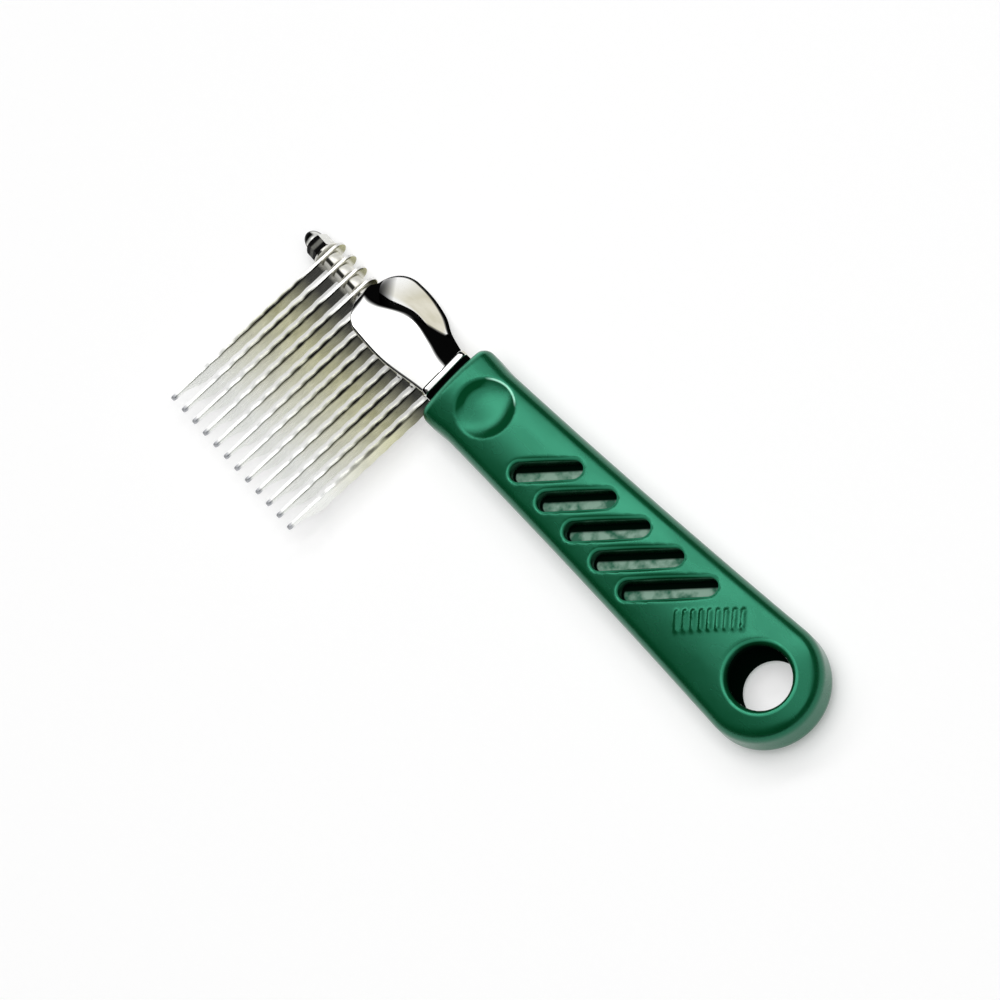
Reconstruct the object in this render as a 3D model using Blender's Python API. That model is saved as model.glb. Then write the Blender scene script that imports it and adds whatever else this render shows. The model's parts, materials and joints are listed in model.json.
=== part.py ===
"""Dematting curry comb: a moulded handle, a chromed thumb rest and twelve long steel blades on a rod.

The comb lies flat.  +X runs from the cap nut to the butt of the handle, the teeth point to -Y and the
thumb rests on the +Y side.  The origin is the middle of the footprint, on the surface the handle lies on.
All sizes are in metres.
"""
import bpy
import bmesh
from math import asin, cos, pi, radians, sin, sqrt
from mathutils import Matrix, Vector
from mathutils.geometry import interpolate_bezier

MM = 0.001
GAP = 0.3 * MM                      # clearance left between neighbouring pieces

# Handle.  Its own zero is the middle of its front end.
HANDLE_LENGTH = 126.4 * MM
HANDLE_THICKNESS = 14.0 * MM
HANDLE_WAIST_X = 10.0 * MM          # where the handle is narrowest
HANDLE_WAIST_HALF = 10.7 * MM
HANDLE_FRONT_HALF = 11.1 * MM
HANDLE_CORNER = 3.0 * MM            # plan radius of the two front corners
HANDLE_EDGE = 3.0 * MM              # rounding between the broad faces and the sides
BUTT_RADIUS = 15.2 * MM
BUTT_TANGENT = radians(3.6)         # slope of the sides where the butt's arc begins

# Hanging hole in the butt.
HOLE_X = 112.0 * MM
HOLE_LENGTH = 16.0 * MM
HOLE_WIDTH = 14.8 * MM
HOLE_FLARE = 1.2 * MM

# Grip slots, cut blind into both broad faces.
SLOT_COUNT = 5
SLOT_FIRST_X = 35.6 * MM
SLOT_PITCH = 10.9 * MM
SLOT_FIRST_LENGTH = 17.9 * MM
SLOT_GROWTH = 1.6 * MM              # each slot is this much longer than the one before
SLOT_WIDTH = 4.6 * MM
SLOT_DEPTH = 4.4 * MM
SLOT_CHAMFER = 0.4 * MM
SLOT_ANGLE = radians(43.4)

# Shallow thumb dimple near the front end, on both broad faces.
DIMPLE_X = 13.0 * MM
DIMPLE_Y = 0.4 * MM
DIMPLE_RADIUS = 7.0 * MM
DIMPLE_DEPTH = 0.9 * MM

# Socket that takes the thumb rest's boss and tang.
BOSS_HALF_Y = 5.2 * MM
BOSS_HALF_Z = 3.9 * MM
BOSS_DEPTH = 12.0 * MM
TANG_HALF_Y = 3.6 * MM
TANG_HALF_Z = 1.2 * MM
TANG_DEPTH = 62.0 * MM

# Rod line: a point on it at the handle's front end, and how far it leans up towards the nut.
ROD_Y = -2.0 * MM
ROD_Z = -1.5 * MM
ROD_LEAN = radians(3.3)
ROD_RADIUS = 1.5 * MM
ROD_IN_BOSS = 8.0 * MM
BORE_RADIUS = ROD_RADIUS + GAP

# Blades: flat strips with wavy edges, a round head on the rod and a small blunt nib at the tip.
BLADE_COUNT = 12
BLADE_LAST = 2.3 * MM               # the blade nearest the handle, from the handle's front end
BLADE_PITCH = 4.143 * MM
BLADE_THICKNESS = 1.0 * MM
BLADE_HALF_DEPTH = 2.5 * MM
BLADE_LENGTH = 49.5 * MM            # from the rod's axis to the tip
BLADE_HEAD = 4.6 * MM               # from the rod's axis to the top of the head
WAVE_START = 7.6 * MM               # below the rod's axis
WAVE_PERIOD = 4.7 * MM
WAVE_COUNT = 7
WAVE_DEPTH = 0.15 * MM
SWEEP_LENGTH = 6.0 * MM             # where the back edge sweeps forward to the nib
NIB_WIDTH = 1.5 * MM
NIB_LENGTH = 2.8 * MM

# Spacers, washer and cap nut.
SPACER_RADIUS = 2.5 * MM
WASHER_RADIUS = 3.5 * MM
WASHER_THICKNESS = 0.6 * MM
NUT_ACROSS_FLATS = 5.5 * MM
NUT_HEX_LENGTH = 3.6 * MM
NUT_DOME_RADIUS = 2.35 * MM
NUT_LENGTH = 7.0 * MM
NUT_BORE_DEPTH = 5.0 * MM
ROD_IN_NUT = 4.5 * MM

# Thumb rest: stations from the neck at the handle to the nose.
NECK_X = -0.6 * MM
NOSE_X = -33.4 * MM
NOSE_ROUND = 7.0 * MM
NOSE_Y = 3.5 * MM                   # the nose rounds off towards this height
NOSE_LEAN = 0.4                     # how far the nose leans out for each step down
LEAN_START = -17.0 * MM
NOSE_BULGE = 4.9 * MM               # height above the middle where the lean runs out
COLLAR_LENGTH = 1.8 * MM
COLLAR_LOW = -7.1 * MM
COLLAR_HIGH = 6.8 * MM
COLLAR_HALF_Z = 6.3 * MM
COLLAR_CORNER = 1.6 * MM
CHANNEL_HALF_Z = BLADE_HALF_DEPTH + WAVE_DEPTH + GAP

ROUND_SIDES = 20                    # sides of the small turned pieces


def clear_scene():
    for old in list(bpy.data.objects):
        bpy.data.objects.remove(old, do_unlink=True)


def finish_material(name, colour, roughness, metallic):
    material = bpy.data.materials.new(name)
    material.use_nodes = True
    shader = material.node_tree.nodes["Principled BSDF"]
    shader.inputs["Base Color"].default_value = (*colour, 1.0)
    shader.inputs["Roughness"].default_value = roughness
    shader.inputs["Metallic"].default_value = metallic
    return material


def mesh_object(name, bm, material=None, smooth_angle=radians(35)):
    """Turn a bmesh into an object with outward faces and smooth shading."""
    bmesh.ops.recalc_face_normals(bm, faces=bm.faces)
    mesh = bpy.data.meshes.new(name)
    bm.to_mesh(mesh)
    bm.free()
    mesh.shade_smooth()
    mesh.set_sharp_from_angle(angle=smooth_angle)
    obj = bpy.data.objects.new(name, mesh)
    bpy.context.collection.objects.link(obj)
    if material:
        mesh.materials.append(material)
    return obj


def loft(rings):
    """Skin a list of closed rings that have the same number of points, with a face on each end."""
    bm = bmesh.new()
    loops = [[bm.verts.new(point) for point in ring] for ring in rings]
    count = len(loops[0])
    for low, high in zip(loops, loops[1:]):
        for i in range(count):
            j = (i + 1) % count
            bm.faces.new((low[i], low[j], high[j], high[i]))
    bm.faces.new(loops[0])
    bm.faces.new(loops[-1])
    return bm


def turned(profile, sides=ROUND_SIDES):
    """Turn a closed profile of (x, radius) points about the X axis."""
    bm = bmesh.new()
    rings = []
    for k in range(sides):
        turn = Matrix.Rotation(2 * pi * k / sides, 3, "X")
        rings.append([bm.verts.new(turn @ Vector((x, 0, r))) for x, r in profile])
    for k, ring in enumerate(rings):
        following = rings[(k + 1) % sides]
        for i in range(len(profile)):
            j = (i + 1) % len(profile)
            bm.faces.new((ring[i], ring[j], following[j], following[i]))
    return bm


def box(name, low, high):
    """A closed block between two corners, used to add to or cut from other pieces."""
    bm = bmesh.new()
    bmesh.ops.create_cube(bm, size=1.0)
    low = Vector(low)
    high = Vector(high)
    middle = (low + high) / 2
    size = high - low
    for vert in bm.verts:
        vert.co = Vector((vert.co.x * size.x, vert.co.y * size.y, vert.co.z * size.z)) + middle
    return mesh_object(name, bm)


def combine(target, tool, operation):
    """Cut a helper from a piece or join it on, and keep the helper out of the model."""
    tool.hide_render = True
    tool.display_type = "WIRE"
    tool.parent = target.parent
    modifier = target.modifiers.new(tool.name, "BOOLEAN")
    modifier.operation = operation
    modifier.object = tool
    modifier.solver = "EXACT"


def arc(centre, radius, start, end, steps):
    """Points along an arc in the XY plane, both ends included."""
    turn = (end - start) / steps
    return [Vector((centre[0] + radius * cos(start + turn * k), centre[1] + radius * sin(start + turn * k)))
            for k in range(steps + 1)]


# ---------------------------------------------------------------- handle

def handle_outline():
    """Plan outline: front edge, slightly waisted sides and a round butt.  Runs anticlockwise."""
    butt_x = HANDLE_LENGTH - BUTT_RADIUS
    side_end = Vector((butt_x - BUTT_RADIUS * sin(BUTT_TANGENT), BUTT_RADIUS * cos(BUTT_TANGENT)))
    side_start = Vector((HANDLE_CORNER, HANDLE_FRONT_HALF))
    waist = Vector((HANDLE_WAIST_X, HANDLE_WAIST_HALF))
    reach = (side_end.x - waist.x) / 3
    waist_slope = Vector((1, 0.0255))
    butt_slope = Vector((1, BUTT_TANGENT))
    front = interpolate_bezier(side_start, side_start + Vector((2 * MM, 0)),
                               waist - waist_slope * 2 * MM, waist, 4)
    flank = interpolate_bezier(waist, waist + waist_slope * reach, side_end - butt_slope * reach, side_end, 12)
    upper = arc((HANDLE_CORNER, HANDLE_FRONT_HALF - HANDLE_CORNER), HANDLE_CORNER, pi, pi / 2, 5)
    upper += [Vector(p[:2]) for p in front[1:]] + [Vector(p[:2]) for p in flank[1:]]
    butt = arc((butt_x, 0), BUTT_RADIUS, pi / 2 + BUTT_TANGENT, -pi / 2 - BUTT_TANGENT, 22)
    lower = [Vector((p.x, -p.y)) for p in reversed(upper)]
    clockwise = upper + butt[1:-1] + lower
    return list(reversed(clockwise))


def inset_outline(outline, distance):
    """Move each point of a closed anticlockwise outline inwards along its normal."""
    moved = []
    count = len(outline)
    for i, point in enumerate(outline):
        along = (outline[(i + 1) % count] - outline[i - 1]).normalized()
        moved.append(point + Vector((-along.y, along.x)) * distance)
    return moved


def handle_body(material):
    outline = handle_outline()
    half = HANDLE_THICKNESS / 2
    steps = 4
    levels = []
    for k in range(steps + 1):
        turn = pi / 2 * k / steps
        levels.append((HANDLE_EDGE * (1 - sin(turn)), half - HANDLE_EDGE * (1 - cos(turn))))
    rings = []
    for inset, height in [(i, -h) for i, h in levels] + [(i, h) for i, h in reversed(levels)]:
        rings.append([(p.x, p.y, height) for p in inset_outline(outline, inset)])
    return mesh_object("handle", loft(rings), material)


def hanging_hole_cutter():
    """Spool that is narrow in the middle and flares towards both broad faces."""
    half = HANDLE_THICKNESS / 2
    heights = [-half - MM, -half, -half + HOLE_FLARE / 2, -half + HOLE_FLARE]
    flares = [HOLE_FLARE + 0.6 * MM, HOLE_FLARE * 0.75, HOLE_FLARE * 0.2, 0.0]
    levels = list(zip(heights, flares))
    levels += [(-h, f) for h, f in reversed(levels)]
    rings = []
    for height, flare in levels:
        rings.append([(HOLE_X + (HOLE_LENGTH / 2 + flare) * cos(a), (HOLE_WIDTH / 2 + flare) * sin(a), height)
                      for a in (2 * pi * k / 28 for k in range(28))])
    return mesh_object("hanging_hole_cutter", loft(rings))


def slot_cutter(index, side):
    """Round-ended slot; side is +1 for the upper face and -1 for the lower."""
    length = SLOT_FIRST_LENGTH + SLOT_GROWTH * index
    face = HANDLE_THICKNESS / 2
    rings = []
    for depth, grow in ((-MM, SLOT_CHAMFER + MM), (SLOT_CHAMFER, 0.0), (SLOT_DEPTH, 0.0)):
        radius = SLOT_WIDTH / 2 + grow
        reach = length / 2 - SLOT_WIDTH / 2
        ends = arc((reach, 0), radius, -pi / 2, pi / 2, 7) + arc((-reach, 0), radius, pi / 2, 3 * pi / 2, 7)
        turn = Matrix.Rotation(SLOT_ANGLE, 2)
        centre = Vector((SLOT_FIRST_X + SLOT_PITCH * index, 0))
        rings.append([(*(turn @ p + centre), side * (face - depth)) for p in ends])
    return mesh_object(f"slot_cutter_{index}_{side}", loft(rings))


def dimple_cutter(side):
    """Large ball whose cap leaves a shallow round dimple."""
    radius = (DIMPLE_RADIUS ** 2 + DIMPLE_DEPTH ** 2) / (2 * DIMPLE_DEPTH)
    cap = asin(DIMPLE_RADIUS / radius)
    face = HANDLE_THICKNESS / 2
    rings = []
    for k in (1, 2, 3, 4, 5):
        angle = cap * k / 4
        height = face - DIMPLE_DEPTH + radius * (1 - cos(angle))
        reach = radius * sin(angle)
        rings.append([(DIMPLE_X + reach * cos(a), DIMPLE_Y + reach * sin(a), side * height)
                      for a in (2 * pi * n / 24 for n in range(24))])
    return mesh_object(f"dimple_cutter_{side}", loft(rings))


def make_handle(material):
    handle = handle_body(material)
    combine(handle, hanging_hole_cutter(), "DIFFERENCE")
    for side in (1, -1):
        combine(handle, dimple_cutter(side), "DIFFERENCE")
        for index in range(SLOT_COUNT):
            combine(handle, slot_cutter(index, side), "DIFFERENCE")
    mouth = box("socket_cutter", (-MM, -BOSS_HALF_Y - GAP, -BOSS_HALF_Z - GAP),
                (BOSS_DEPTH + GAP, BOSS_HALF_Y + GAP, BOSS_HALF_Z + GAP))
    combine(handle, mouth, "DIFFERENCE")
    pocket = box("tang_cutter", (BOSS_DEPTH - MM, -TANG_HALF_Y - GAP, -TANG_HALF_Z - GAP),
                 (TANG_DEPTH + GAP, TANG_HALF_Y + GAP, TANG_HALF_Z + GAP))
    combine(handle, pocket, "DIFFERENCE")
    return handle


# ---------------------------------------------------------------- thumb rest

def ramp(x, points):
    """Smooth value at x between (x, value) points listed from the neck towards the nose."""
    for (x0, v0), (x1, v1) in zip(points, points[1:]):
        if x >= x1:
            t = (x - x0) / (x1 - x0)
            t = min(max(t, 0.0), 1.0)
            return v0 + (v1 - v0) * t * t * (3 - 2 * t)
    return points[-1][1]


def thumb_rest_section(x):
    """Closed section at x: a flank on each side and a slanted, dished pad between two rims."""
    bottom = ramp(x, ((0, -6.8 * MM), (-16 * MM, -8.3 * MM), (NOSE_X, -7.4 * MM)))
    near_rim = ramp(x, ((0, 1.0 * MM), (-17 * MM, 5.2 * MM), (NOSE_X, 0.4 * MM)))
    crest = ramp(x, ((0, 6.4 * MM), (-25 * MM, 11.5 * MM), (NOSE_X, 11.5 * MM)))
    crest_z = ramp(x, ((0, 3.2 * MM), (-8 * MM, 1.6 * MM), (-17 * MM, -4.6 * MM), (NOSE_X, -4.2 * MM)))
    front = ramp(x, ((0, 5.8 * MM), (-14 * MM, 6.2 * MM), (NOSE_X, 6.2 * MM)))
    back = ramp(x, ((0, -6.0 * MM), (-14 * MM, -6.5 * MM), (NOSE_X, -6.4 * MM)))
    rim_round = ramp(x, ((0, 2.8 * MM), (-16 * MM, 2.6 * MM), (NOSE_X, 4.0 * MM)))
    dish = ramp(x, ((0, 0.0), (-12 * MM, 0.15 * MM), (-24 * MM, 0.12 * MM), (NOSE_X, 0.0)))
    past = max(0.0, NOSE_X + NOSE_ROUND - x) / NOSE_ROUND
    shrink_y = sqrt(max(0.0, 1 - past ** 2))
    shrink_z = max(0.0, 1 - past ** 5) ** 0.2
    corners = ((bottom, front, 0.8 * MM), (near_rim, front, rim_round), (crest, crest_z, 1.3 * MM),
               (crest * 0.45, back, 2.6 * MM), (bottom, back, 2.0 * MM))
    points = []
    count = len(corners)
    steps = 4
    for i, (y, z, radius) in enumerate(corners):
        corner = Vector((y, z))
        before = Vector(corners[i - 1][:2]) - corner
        after = Vector(corners[(i + 1) % count][:2]) - corner
        start = corner + before.normalized() * min(radius, before.length * 0.45)
        end = corner + after.normalized() * min(radius, after.length * 0.45)
        for k in range(steps + 1):
            t = k / steps
            points.append(start * (1 - t) ** 2 + corner * 2 * t * (1 - t) + end * t ** 2)
        if i == 1:
            rim_end = end
        if i == 2:
            rim_start = start
    across = rim_start - rim_end
    inward = Vector((across.y, -across.x)).normalized()
    if inward.x > 0:
        inward = -inward
    pad = [rim_end + across * t + inward * dish * sin(pi * t) for t in (0.25, 0.5, 0.75)]
    after_near_rim = 2 * (steps + 1)
    points[after_near_rim:after_near_rim] = pad
    lean = ramp(x, ((LEAN_START, 0.0), (NOSE_X, NOSE_LEAN))) if x < LEAN_START else 0.0
    section = []
    for p in points:
        height = p.y * shrink_z
        out = lean * (height - max(height, 0.0) ** 2 / (2 * NOSE_BULGE))
        section.append((x + out, NOSE_Y + (p.x - NOSE_Y) * shrink_y, height))
    return section


def collar_ring(x):
    """Rounded rectangle of the collar at x."""
    flat_low = COLLAR_LOW + COLLAR_CORNER
    flat_high = COLLAR_HIGH - COLLAR_CORNER
    flat_z = COLLAR_HALF_Z - COLLAR_CORNER
    ring = []
    for y, z, start in ((flat_high, flat_z, 0.0), (flat_low, flat_z, pi / 2), (flat_low, -flat_z, pi),
                        (flat_high, -flat_z, 3 * pi / 2)):
        ring += [(x, p.x, p.y) for p in arc((y, z), COLLAR_CORNER, start, start + pi / 2, 3)]
    return ring


def blade_channel():
    """Tunnel over the blades, open below and at the nose, with a round roof over their heads."""
    roof_centre = BLADE_HEAD - BLADE_HALF_DEPTH
    roof = [(roof_centre + CHANNEL_HALF_Z * sin(a), CHANNEL_HALF_Z * cos(a))
            for a in (pi * k / 10 for k in range(11))]
    section = [(-20 * MM, CHANNEL_HALF_Z)] + roof + [(-20 * MM, -CHANNEL_HALF_Z)]
    last_face = -BLADE_LAST + BLADE_THICKNESS / 2 + GAP
    return loft([[(x, y, z) for y, z in section] for x in (NOSE_X - 10 * MM, last_face)])


def thumb_rest_stations():
    """Stations get closer together round the nose."""
    straight = 9
    start = NECK_X - COLLAR_LENGTH
    turn_x = NOSE_X + NOSE_ROUND
    stations = [start + (turn_x - start) * k / straight for k in range(straight + 1)]
    for k in range(1, 7):
        stations.append(turn_x - NOSE_ROUND * sin(radians(13.5 * k)))
    return stations


def make_thumb_rest(material, rod_matrix):
    rings = [thumb_rest_section(x) for x in thumb_rest_stations()]
    rest = mesh_object("thumb_rest", loft(rings), material)

    collar = mesh_object("collar", loft([collar_ring(x) for x in (NECK_X - COLLAR_LENGTH, NECK_X)]))
    combine(rest, collar, "UNION")

    boss = box("boss", (NECK_X - MM, -BOSS_HALF_Y, -BOSS_HALF_Z), (BOSS_DEPTH, BOSS_HALF_Y, BOSS_HALF_Z))
    combine(rest, boss, "UNION")
    tang = box("tang", (BOSS_DEPTH - MM, -TANG_HALF_Y, -TANG_HALF_Z), (TANG_DEPTH, TANG_HALF_Y, TANG_HALF_Z))
    combine(rest, tang, "UNION")

    channel = mesh_object("channel_cutter", blade_channel())
    channel.matrix_world = rod_matrix
    combine(rest, channel, "DIFFERENCE")
    bore = mesh_object("rod_bore", turned_rod(-5 * MM, ROD_IN_BOSS + GAP, BORE_RADIUS))
    bore.matrix_world = rod_matrix
    combine(rest, bore, "DIFFERENCE")
    return rest


# ---------------------------------------------------------------- rod, blades and hardware

def turned_rod(start, end, radius, sides=ROUND_SIDES):
    """Solid round bar between two places along X."""
    rings = []
    for x in (start, end):
        rings.append([(x, radius * cos(a), radius * sin(a)) for a in (2 * pi * k / sides for k in range(sides))])
    return loft(rings)


def turned_ring(length, outer, inner, sides=ROUND_SIDES):
    """Round collar centred on the rod, with its axis along X."""
    half = length / 2
    return turned([(-half, inner), (half, inner), (half, outer), (-half, outer)], sides)


def blade_edge(depth_offset, end):
    """Wavy edge down to end, as (y, z) points; z is depth_offset plus the wave."""
    points = []
    per_wave = 4
    for k in range(WAVE_COUNT * per_wave + 1):
        y = -WAVE_START - WAVE_PERIOD * k / per_wave
        if y >= end:
            points.append(Vector((y, depth_offset + WAVE_DEPTH * sin(2 * pi * k / per_wave))))
    return points


def blade_outline():
    """Side view of a blade in its own (y, z), with the rod's axis at zero and the tip at -y."""
    half = BLADE_HALF_DEPTH
    tip = -BLADE_LENGTH
    sweep_start = tip + NIB_LENGTH + SWEEP_LENGTH
    head = [Vector((BLADE_HEAD - half + half * sin(a), half * cos(a))) for a in (pi * k / 8 for k in range(9))]
    back = blade_edge(-half, sweep_start)
    nib_back = half - NIB_WIDTH
    sweep = []
    for k in range(6):
        t = k / 5
        ease = t * t * (3 - 2 * t)
        sweep.append(Vector((sweep_start - SWEEP_LENGTH * t, -half + (nib_back + half) * ease)))
    nib_centre = half - NIB_WIDTH / 2
    nib = [Vector((tip + NIB_WIDTH / 2 - NIB_WIDTH / 2 * sin(a), nib_centre - NIB_WIDTH / 2 * cos(a)))
           for a in (pi * k / 6 for k in range(7))]
    front = list(reversed(blade_edge(half, sweep_start)))
    return head + back + sweep + nib + front


def blade_mesh():
    outline = blade_outline()
    half = BLADE_THICKNESS / 2
    return loft([[(x, p.x, p.y) for p in outline] for x in (-half, half)])


def make_blades(material, head_frame):
    for index in range(BLADE_COUNT):
        blade = mesh_object(f"blade_{index + 1:02d}", blade_mesh(), material)
        blade.parent = head_frame
        blade.location.x = -BLADE_LAST - BLADE_PITCH * (BLADE_COUNT - 1 - index)
        bore = mesh_object(f"blade_bore_{index + 1:02d}", turned_rod(-MM, MM, BORE_RADIUS))
        combine(blade, bore, "DIFFERENCE")
        bore.location.x = blade.location.x


def make_spacers(material, head_frame):
    """One spacer behind each blade but the last, which rests on the thumb rest's shoulder."""
    length = BLADE_PITCH - BLADE_THICKNESS - 2 * GAP
    for index in range(BLADE_COUNT - 1):
        spacer = mesh_object(f"spacer_{index + 1:02d}", turned_ring(length, SPACER_RADIUS, BORE_RADIUS), material)
        spacer.parent = head_frame
        spacer.location.x = -BLADE_LAST - BLADE_PITCH * (BLADE_COUNT - 1.5 - index)


def first_blade_face():
    """Place along the rod of the outer face of the first blade."""
    return -BLADE_LAST - BLADE_PITCH * (BLADE_COUNT - 1) - BLADE_THICKNESS / 2


def make_rod(material, head_frame):
    end = first_blade_face() - GAP - WASHER_THICKNESS - GAP - ROD_IN_NUT
    rod = mesh_object("blade_rod", turned_rod(end, ROD_IN_BOSS, ROD_RADIUS), material)
    rod.parent = head_frame
    return rod


def cap_nut_mesh():
    """Hexagon with a domed cap; x is zero at the open face and grows negative to the dome's tip."""
    sides = 24
    flat = NUT_ACROSS_FLATS / 2

    def hexagon(x, limit):
        ring = []
        for k in range(sides):
            angle = 2 * pi * k / sides
            from_flat = (angle + pi / 6) % (pi / 3) - pi / 6
            ring.append((x, min(flat / cos(from_flat), limit), angle))
        return ring

    def circle(x, radius):
        return [(x, radius, 2 * pi * k / sides) for k in range(sides)]

    wide = flat / cos(pi / 6)
    rings = [circle(-NUT_BORE_DEPTH, 0.2 * BORE_RADIUS), circle(-NUT_BORE_DEPTH, BORE_RADIUS),
             circle(0, BORE_RADIUS), circle(0, flat), hexagon(-0.35 * MM, wide),
             hexagon(-NUT_HEX_LENGTH + 0.35 * MM, wide), circle(-NUT_HEX_LENGTH, flat * 0.98)]
    dome_length = NUT_LENGTH - NUT_HEX_LENGTH
    for k in range(6):
        turn = pi / 2 * k / 6
        rings.append(circle(-NUT_HEX_LENGTH - dome_length * sin(turn), NUT_DOME_RADIUS * cos(turn)))
    return loft([[(x, r * cos(a), r * sin(a)) for x, r, a in ring] for ring in rings])


def make_washer_and_nut(steel, plated, head_frame):
    """The washer slides along the rod with the cap nut, which turns on it."""
    washer_x = first_blade_face() - GAP - WASHER_THICKNESS / 2
    washer = mesh_object("clamp_washer", turned_ring(WASHER_THICKNESS, WASHER_RADIUS, BORE_RADIUS, 24), steel)
    washer.parent = head_frame
    washer.location.x = washer_x
    nut = mesh_object("cap_nut", cap_nut_mesh(), plated)
    nut.parent = head_frame
    nut.location.x = washer_x - WASHER_THICKNESS / 2 - GAP


# ---------------------------------------------------------------- assembly

def stand_on_origin(root):
    """Shift the whole model so that its footprint is centred on the origin and rests on z = 0."""
    bpy.context.view_layer.update()
    graph = bpy.context.evaluated_depsgraph_get()
    corners = []
    for obj in bpy.data.objects:
        if obj.type == "MESH" and not obj.hide_render:
            shown = obj.evaluated_get(graph)
            corners += [shown.matrix_world @ vert.co for vert in shown.data.vertices]
    low = [min(c[axis] for c in corners) for axis in range(3)]
    high = [max(c[axis] for c in corners) for axis in range(3)]
    root.location = (-(low[0] + high[0]) / 2, -(low[1] + high[1]) / 2, -low[2])


def main():
    clear_scene()
    green = finish_material("green_plastic", (0.004, 0.16, 0.066), 0.28, 0.0)
    chrome = finish_material("chrome", (0.78, 0.78, 0.76), 0.07, 1.0)
    blade_steel = finish_material("blade_steel", (0.50, 0.51, 0.47), 0.24, 1.0)
    bright_steel = finish_material("bright_steel", (0.72, 0.72, 0.68), 0.18, 1.0)
    nut_plate = finish_material("nut_plate", (0.35, 0.35, 0.34), 0.16, 1.0)

    root = bpy.data.objects.new("comb", None)
    bpy.context.collection.objects.link(root)
    head_frame = bpy.data.objects.new("rod_axis", None)
    bpy.context.collection.objects.link(head_frame)
    rod_matrix = Matrix.Translation((0, ROD_Y, ROD_Z)) @ Matrix.Rotation(-ROD_LEAN, 4, "Z")
    head_frame.matrix_world = rod_matrix
    head_frame.parent = root

    make_handle(green)
    make_thumb_rest(chrome, rod_matrix)
    make_rod(bright_steel, head_frame)
    make_blades(blade_steel, head_frame)
    make_spacers(bright_steel, head_frame)
    make_washer_and_nut(bright_steel, nut_plate, head_frame)

    for obj in bpy.data.objects:
        if obj.parent is None and obj is not root:
            obj.parent = root
    stand_on_origin(root)


main()
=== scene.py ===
"""Looks of the dematting curry comb: moulded green handle, chromed thumb rest and wavy steel blades.

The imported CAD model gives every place. Finer pieces stand for its nodes, in the same frame: +X runs
to the butt of the handle, the blades point to -Y and +Z is up from the floor. All sizes are in metres.
"""
import json

import bmesh
import bpy
import numpy as np
from math import cos, pi, radians, sin, sqrt, tan
from mathutils import Matrix, Vector
from mathutils.geometry import interpolate_bezier


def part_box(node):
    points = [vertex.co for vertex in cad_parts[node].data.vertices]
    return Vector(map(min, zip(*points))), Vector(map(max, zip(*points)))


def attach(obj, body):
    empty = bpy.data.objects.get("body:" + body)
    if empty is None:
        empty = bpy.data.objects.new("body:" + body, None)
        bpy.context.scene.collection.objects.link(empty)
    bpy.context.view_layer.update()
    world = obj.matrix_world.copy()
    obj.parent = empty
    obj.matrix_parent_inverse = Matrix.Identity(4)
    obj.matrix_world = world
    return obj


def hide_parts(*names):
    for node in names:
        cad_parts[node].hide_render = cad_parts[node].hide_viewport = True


MM = 0.001
GAP = 0.3 * MM                      # left between neighbouring pieces
SHARP_ANGLE = radians(32)           # edges that turn more than this are shaded as sharp

# Handle, measured from the middle of its front end.
HANDLE_HALF_HEIGHT = 7.0 * MM
WAIST_X = 10.0 * MM
WAIST_HALF = 10.7 * MM
FRONT_HALF = 11.1 * MM
CORNER = 2.6 * MM                   # rounding of the front corners in plan
BUTT_RADIUS = 15.2 * MM
BUTT_TANGENT = radians(3.6)         # lean of the side where it meets the butt's arc
CROWN = 1.8 * MM                    # fall of the broad face from its spine to the side
EDGE_INSET = 2.5 * MM               # elliptical rounding from the side to the broad face
EDGE_DROP = 4.0 * MM
HOLE_X = 112.0 * MM
HOLE_LENGTH = 16.0 * MM
HOLE_WIDTH = 14.8 * MM
HOLE_FLARE = 1.3 * MM
HOLE_RING = 1.0 * MM                # the painted highlight ring lies this far outside the hole's wall
SLOT_COUNT = 5
SLOT_FIRST_X = 35.6 * MM
SLOT_PITCH = 10.9 * MM
SLOT_FIRST_LENGTH = 17.9 * MM
SLOT_GROWTH = 1.6 * MM
SLOT_WIDTH = 4.6 * MM
SLOT_DEPTH = 4.4 * MM
SLOT_ANGLE = radians(43.4)
DIMPLE_X = 13.0 * MM
DIMPLE_Y = 0.6 * MM
DIMPLE_REACH_X = 7.6 * MM
DIMPLE_REACH_Y = 7.3 * MM
DIMPLE_DEPTH = 1.0 * MM
RIB_COUNT = 9
RIB_X = 92.9 * MM
RIB_Y = 1.5 * MM
RIB_PITCH = 2.0 * MM
RIB_LENGTH = 5.4 * MM
RIB_WIDTH = 0.9 * MM
RIB_HEIGHT = 0.32 * MM
RECESS_IN = 0.1 * MM                # painted shade: openings are black this far inside their outlines
RECESS_DOWN = 1.1 * MM              # and this far below the broad face
SKIN_VOXEL = 0.28 * MM              # grain of the remeshed handle

# Blades and the hardware on the rod.
BLADE_PITCH = 4.143 * MM
BLADE_THICKNESS = 1.0 * MM
BLADE_HALF_DEPTH = 2.5 * MM
BLADE_LENGTH = 49.5 * MM
BLADE_HEAD = 4.6 * MM               # top of the round head above the rod's axis
WAVE_START = 7.6 * MM               # below the rod's axis
WAVE_PERIOD = 4.7 * MM
WAVE_COUNT = 7
WAVE_DEPTH = 0.15 * MM
SWEEP_LENGTH = 6.0 * MM
NIB_WIDTH = 1.5 * MM
NIB_LENGTH = 2.8 * MM
GRIND_SIDE = 0.16 * MM              # ground bevel along both edges of a blade
GRIND_DEPTH = 0.35 * MM
ROD_RADIUS = 1.5 * MM
THREAD_PITCH = 0.5 * MM
THREAD_DEPTH = 0.2 * MM
THREADED = 9.0 * MM                 # length of the thread
SPACER_RADIUS = 2.5 * MM
WASHER_RADIUS = 3.5 * MM
WASHER_THICKNESS = 0.6 * MM
NUT_ACROSS_FLATS = 5.5 * MM
NUT_HEX_LENGTH = 3.6 * MM
NUT_DOME_RADIUS = 2.35 * MM
NUT_LENGTH = 7.0 * MM
NUT_BORE_DEPTH = 5.0 * MM
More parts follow.
